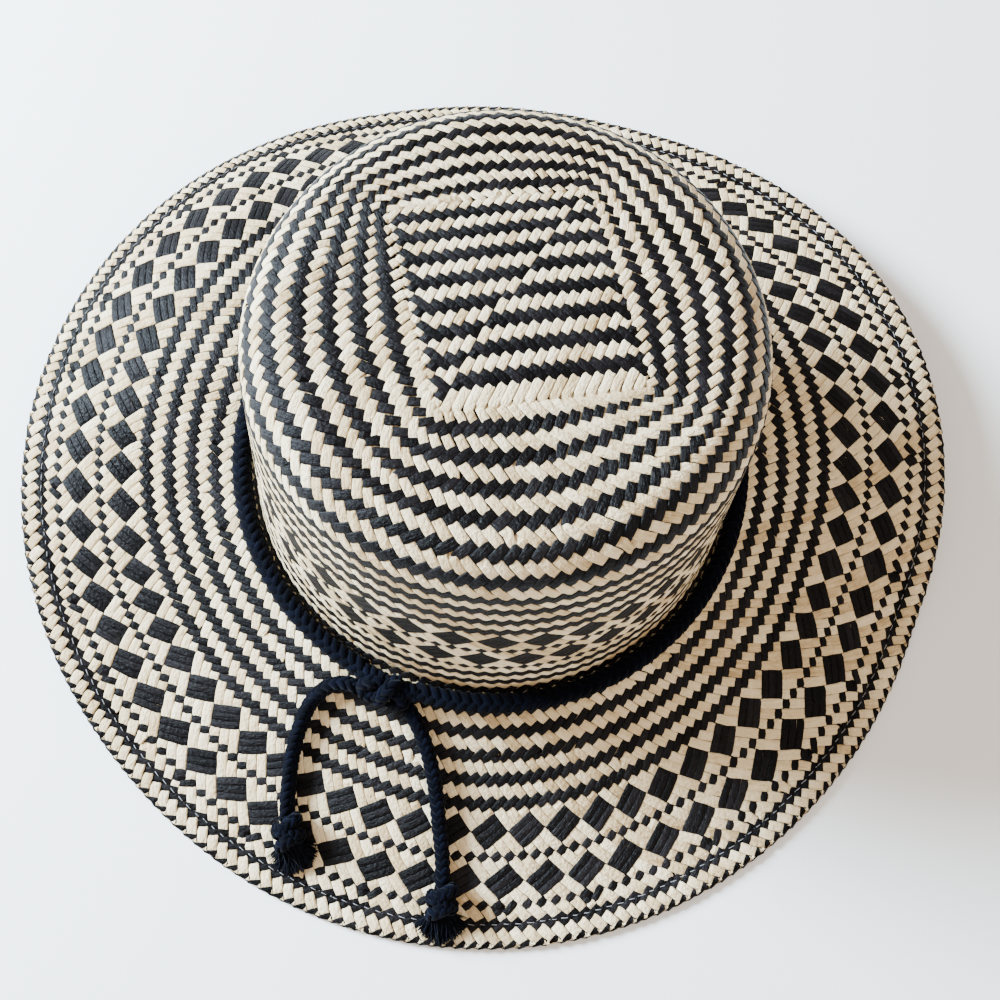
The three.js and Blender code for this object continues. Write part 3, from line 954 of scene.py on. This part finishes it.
def shows_dark(level, index, spot):
    """True where the dark strip lies on top at a crossing of a ring."""
    if level >= EDGE_RING:
        return True
    for start in MOTIF_STARTS:
        row = level - start
        if row in MOTIF_ROWS:
            dark, light = index + row, -index
            if row in DARK_ROWS:
                return True
            if row in FIRST_SQUARES:
                return dark // SQUARE + light // SQUARE == 0
            if row in SECOND_SQUARES:
                return dark // SQUARE + (light - SECOND_SHIFT) // SQUARE == SECOND_SUM
            return False
    return bool(spot) or level % TWILL in TWILL_DARK


# %% [markdown]
# ## The strips
# Each strip is followed from crossing to crossing. At a crossing where it shows it is lifted,
# where it is hidden it is pressed down, and half way between the two it passes through the
# middle of the weave. Its width is what the crossings leave it. Real strips are never quite
# even, so each wanders and narrows a little by its own random draws.

# %% How a strip lies
LIFT = 0.32
FILL = {"light": 0.995, "dark": 1.06}
# how far a strip's ends run on in crossings, how deep they are tucked in lifts, and the share
# of the width that is left there
START_RUN, START_TUCK, START_WIDTH = 0.95, 2.4, 0.9
END_RUN, END_TUCK, END_WIDTH = 0.62, 1.5, 0.8
EVEN_LEAN = 0.5


def local_width(cell_step, ring_step, lean=EVEN_LEAN):
    """Half the width a crossing leaves a strip that leans by part of a cell from ring to ring."""
    return 0.5 * cell_step * ring_step / np.sqrt((lean * cell_step) ** 2 + ring_step ** 2)


def strip_line(flats, shown, widths, tone):
    """One strip's line: flat places of its crossings, and whether it shows at each."""
    places = [flats[0] - (flats[1] - flats[0]) * START_RUN]
    lifts = [-START_TUCK * LIFT]
    halves = [widths[0] * START_WIDTH]
    for k, flat in enumerate(flats):
        places.append(flat)
        lifts.append(LIFT if shown[k] else -LIFT)
        halves.append(widths[k])
        if k + 1 < len(flats) and shown[k] != shown[k + 1]:
            places.append((flat + flats[k + 1]) / 2)
            lifts.append(0.0)
            halves.append((widths[k] + widths[k + 1]) / 2)
    places.append(flats[-1] + (flats[-1] - flats[-2]) * END_RUN)
    lifts.append(-END_TUCK * LIFT)
    halves.append(widths[-1] * END_WIDTH)
    return {"flat": np.array(places), "lift": np.array(lifts), "half_width": np.array(halves),
            "tone": tone}


def lay_strips(lines):
    """Puts lines laid flat on the hat's surface, all at once."""
    flats = np.concatenate([line["flat"] for line in lines])
    lifts = np.concatenate([line["lift"] for line in lines])
    points, normals = on_sheet(flats)
    points = points + normals * lifts[:, None]
    first = 0
    for line in lines:
        last = first + len(line["flat"])
        line["points"] = points[first:last]
        line["facing"] = square_facing(points[first:last], normals[first:last])
        first = last
    return lines


# %% What each crossing shows, and its width
paths = {"light": {}, "dark": {}}
for r, ring in enumerate(rings):
    level, angles = ring["level"], ring["angles"]
    ring["flat"] = ring_points(level, angles)
    ring["dark_shown"] = [shows_dark(level, m, spot) for m, spot in enumerate(ring["spots"])]
    step = ring_gaps(level, angles)
    cell_step = (step + np.roll(step, 1)) / 2
    here, outer = ring_arc(level, angles), ring_arc(level + 1, angles)
    ring_step = (outer - ring_arc(level - 1, angles)) / 2 if level > FIRST_RING else outer - here
    twist = WEAVE_TWIST * len(angles) / (2 * math.pi) if level > FOOT_RING else 0.0
    ring["width"] = {"light": local_width(cell_step, ring_step, EVEN_LEAN - twist),
                     "dark": local_width(cell_step, ring_step, EVEN_LEAN + twist)}
    for family in paths:
        for m, strip in enumerate(ring[family]):
            paths[family].setdefault(strip, []).append((r, m))
print("strips followed:", {family: len(paths[family]) for family in paths})

# %% Follow the strips
WANDER, NARROWEST, BROADEST = 0.1, 0.95, 1.03
STRIP_SEED = {"light": (7, 3), "dark": (7, 5)}


def weave_lines(family, first_level, last_level, keep=lambda angle: True):
    """The lines of one family's strips between two rings."""
    lines = []
    times, plus = STRIP_SEED[family]
    for strip, path in sorted(paths[family].items()):
        rng = random.Random(strip * times + plus)
        tone = rng.random()
        part = [(r, m) for r, m in path if first_level <= rings[r]["level"] <= last_level]
        if len(part) < 2 or not keep(rings[part[0][0]]["angles"][part[0][1]] % (2 * math.pi)):
            continue
        flats = [rings[r]["flat"][m] + (rng.gauss(0, WANDER), rng.gauss(0, WANDER))
                 for r, m in part]
        shown = [rings[r]["dark_shown"][m] == (family == "dark") for r, m in part]
        widths = [rings[r]["width"][family][m] * FILL[family] * rng.uniform(NARROWEST, BROADEST)
                  for r, m in part]
        lines.append(strip_line(flats, shown, widths, tone))
    return lay_strips(lines)


# %% [markdown]
# ## The start panel
# The crown begins as a rectangle of plain twill, rows of light and dark floats across it. Along
# a slanting line the rows are stepped by one crossing, as on the real hat, where two halves of
# the start meet. Its strips end tucked under the first ring.

# %% Panel
PANEL_ROWS, PANEL_COLUMNS, ROW_SPREAD = 34, 36, 1.15
STEP_FROM, STEP_TO = np.array((-15.4, -19.2)), np.array((14.7, 44.0))
LIGHT_BORDER, DARK_COLUMNS, PANEL_DARK = 2, (1, PANEL_COLUMNS - 1), (2, 3)
PANEL_WANDER, PANEL_NARROWEST, PANEL_BROADEST = 0.08, 0.96, 1.04
PANEL_SEED = {"light": (13, 7), "dark": (13, 9)}


def panel_place(row, column):
    """A panel crossing laid flat, by its place between the four corners."""
    v = ((row + 0.5) / PANEL_ROWS) ** ROW_SPREAD
    u = (column + 0.5) / PANEL_COLUMNS
    top = np.array(PANEL["top_left"]) * (1 - u) + np.array(PANEL["top_right"]) * u
    bottom = np.array(PANEL["bottom_left"]) * (1 - u) + np.array(PANEL["bottom_right"]) * u
    return top * (1 - v) + bottom * v - np.array((LEAN_X, LEAN_Y))


def panel_dark(row, column):
    """True where the dark strip lies on top in the panel."""
    edge = STEP_TO - STEP_FROM
    offset = panel_place(row, column) + (LEAN_X, LEAN_Y) - STEP_FROM
    right = edge[0] * offset[1] - edge[1] * offset[0] < 0
    if row < LIGHT_BORDER or row >= PANEL_ROWS - LIGHT_BORDER:
        return False
    if column in DARK_COLUMNS:
        return True
    if column == 0:
        return False
    return (row + right) % TWILL in PANEL_DARK


def panel_lines(family):
    """The lines of one family's strips in the panel."""
    lean = -1 if family == "light" else 1
    strands = {}
    for row in range(PANEL_ROWS):
        for column in range(row % 2, PANEL_COLUMNS, 2):
            strands.setdefault(column - lean * row, []).append((row, column))
    lines = []
    times, plus = PANEL_SEED[family]
    for strip, cells in sorted(strands.items()):
        if len(cells) < 2:
            continue
        rng = random.Random(strip * times + plus)
        flats = [panel_place(r, c) + (rng.gauss(0, PANEL_WANDER), rng.gauss(0, PANEL_WANDER))
                 for r, c in cells]
        shown = [panel_dark(r, c) == (family == "dark") for r, c in cells]
        widths = []
        for r, c in cells:
            across = np.linalg.norm(panel_place(r, c + 1) - panel_place(r, c - 1))
            down = np.linalg.norm(panel_place(r + 0.5, c) - panel_place(r - 0.5, c))
            widths.append(float(local_width(across, down)) * FILL[family]
                          * rng.uniform(PANEL_NARROWEST, PANEL_BROADEST))
        lines.append(strip_line(flats, shown, widths, rng.random()))
    return lay_strips(lines)


# %% [markdown]
# ## Palm strips: the finish
# The light strips are bleached palm leaf: cream, a little uneven from strip to strip, with
# fine lengthwise veins and soft crinkles where they bend. The dark ones are the same leaf
# dyed charcoal, with a rubbed, streaky grain. The noise follows each strip's own length and
# width, so the veins turn with the strip.

# %% Materials: palm
CREAM_STOPS = [(0.3, (0.42, 0.28, 0.13)), (0.46, (0.68, 0.51, 0.29)), (0.68, (0.86, 0.71, 0.47))]
CHARCOAL_STOPS = [(0.3, (0.0006, 0.0004, 0.0005)), (0.5, (0.0024, 0.0017, 0.0021)),
                  (0.75, (0.014, 0.0118, 0.0135))]


def palm(name, stops, roughness, crinkle, shine):
    """Palm leaf with veins, patches and crinkles along each strip."""
    material, tree, shader = new_material(name, roughness, specular=shine)
    vein = strip_noise(tree, along=0.12, across=6.0, detail=3.0, rough=0.6)
    patch = strip_noise(tree, along=0.25, across=0.8)
    value = mixed(tree, (vein, 0.45), (patch, 0.3), (attribute_node(tree, "tone"), 0.25))
    tree.links.new(ramp_node(tree, value, stops), shader.inputs["Base Color"])
    crease = strip_noise(tree, along=0.7, across=1.6)
    across = attribute_node(tree, "across")
    puff = math_node(tree, "SUBTRACT", 1.0, math_node(tree, "MULTIPLY", across, across))
    height = mixed(tree, (vein, 0.5), (crease, crinkle), (puff, 0.5))
    bump_node(tree, shader, height, strength=0.9, distance=0.0006)
    return material


PALMS = {"light": palm("bleached_palm", CREAM_STOPS, roughness=0.6, crinkle=1.5, shine=0.15),
         "dark": palm("dyed_palm", CHARCOAL_STOPS, roughness=0.42, crinkle=1.0, shine=0.085)}
print("materials:", [material.name for material in PALMS.values()])

# %% Weave crown and brim
CUT_RING = 24
PALM_SECTION = {"sides": 6, "flatness": 0.13, "boxy": 0.8, "crisp": 20}
BRIM_SIDES = (("front", lambda angle: angle >= math.pi), ("back", lambda angle: angle < math.pi))


def woven(name, lines, material):
    """Strips of one family as one piece of the woven body."""
    piece = sweep_strips(name, lines, **PALM_SECTION)
    dress(piece, material, "woven_palm", "woven_body")
    print(piece.name, "faces", len(piece.data.polygons))


for family, material in PALMS.items():
    crown_lines = panel_lines(family) + weave_lines(family, FIRST_RING, CUT_RING)
    woven("crown_" + family, crown_lines, material)
    for side, keep in BRIM_SIDES:
        brim_lines = weave_lines(family, CUT_RING, LAST_RING, keep)
        woven(f"brim_{side}_{family}", brim_lines, material)

# %% [markdown]
# ## The sewn hem
# The folded rim is held by a line of machine stitches in greyish thread, a few millimetres in
# from the edge. Each stitch is a short thread that rises out of the weave and dips back.

# %% Stitches
STITCH_ARC, STITCH_STEP, STITCH_LENGTH = 91.0, 4.6, 4.4
STITCH_SLANT, STITCH_WANDER, STITCH_HALF_WIDTH = 0.5, 0.15, 0.14
STITCH_LIFTS = np.array([-0.1, 0.5, 0.62, 0.5, -0.1])
STITCH_STOPS = [(0.3, (0.18, 0.18, 0.20)), (0.7, (0.38, 0.38, 0.39))]
STITCH_SEED = 900


def stitch_thread():
    """Greyish sewing thread with a fine ply."""
    material, tree, shader = new_material("stitch_thread", 0.7, specular=0.2)
    ply = strip_noise(tree, along=2.0, across=2.0)
    tree.links.new(ramp_node(tree, ply, STITCH_STOPS), shader.inputs["Base Color"])
    bump_node(tree, shader, ply, strength=0.5, distance=0.0002)
    return material


def stitch_lines():
    """The lines of all stitches, one after another round the rim."""
    reach = BASE_RADIUS + STITCH_ARC
    count = int(2 * math.pi * reach / STITCH_STEP)
    across = np.linspace(-0.5, 0.5, len(STITCH_LIFTS))
    lines = []
    for k in range(count):
        rng = random.Random(STITCH_SEED + k)
        angle = 2 * math.pi * k / count + across * STITCH_LENGTH / reach
        s = CROWN_LENGTH + STITCH_ARC + across * STITCH_SLANT \
            + rng.uniform(-STITCH_WANDER, STITCH_WANDER)
        flat = np.stack([s * np.cos(angle), s * np.sin(angle)], -1)
        lines.append({"flat": flat, "lift": STITCH_LIFTS, "half_width": STITCH_HALF_WIDTH,
                      "tone": rng.random()})
    return lay_strips(lines)


stitches = dress(sweep_strips("hem_stitches", stitch_lines(), sides=5, flatness=0.9),
                 stitch_thread(), "woven_palm")
print("stitches:", len(stitches.data.polygons), "faces")

# %% [markdown]
# ## Floor and light
# A plain pale floor and soft studio light: a wide cool lamp from the left, where the
# photograph's light comes from, a weak warm one from the right, and a bright even sky.

# %% Floor, sky and lamps
FLOOR_HALF, FLOOR_COLOUR = 4.0, (0.97, 0.97, 0.97, 1)
SKY_COLOUR, SKY_STRENGTH = (1.0, 0.93, 0.84, 1), 0.95


def pale_floor():
    """A wide level floor that stays out of the part."""
    mesh = bmesh.new()
    bmesh.ops.create_grid(mesh, x_segments=1, y_segments=1, size=FLOOR_HALF)
    data = bpy.data.meshes.new("floor")
    mesh.to_mesh(data)
    mesh.free()
    floor = bpy.data.objects.new("floor", data)
    bpy.context.scene.collection.objects.link(floor)
    material, _, shader = new_material("pale_floor", 0.9, specular=0.1)
    shader.inputs["Base Color"].default_value = FLOOR_COLOUR
    data.materials.append(material)


def lamp(name, place, size, power, colour):
    """A round area lamp that points at the middle of the floor under the hat."""
    data = bpy.data.lights.new(name, "AREA")
    data.shape = "DISK"
    data.size = size
    data.energy = power
    data.color = colour
    obj = bpy.data.objects.new(name, data)
    obj.location = place
    obj.rotation_euler = (-Vector(place)).to_track_quat("-Z", "Y").to_euler()
    bpy.context.scene.collection.objects.link(obj)


pale_floor()
lamp("window", place=(-1.25, 0.3, 0.75), size=0.6, power=175.0, colour=(0.70, 0.86, 1.0))
lamp("warm_fill", place=(0.8, -0.7, 1.1), size=0.8, power=6.0, colour=(1.0, 0.7, 0.45))
world = bpy.data.worlds.new("sky")
world.use_nodes = True
world.node_tree.nodes["Background"].inputs["Color"].default_value = SKY_COLOUR
world.node_tree.nodes["Background"].inputs["Strength"].default_value = SKY_STRENGTH
bpy.context.scene.world = world
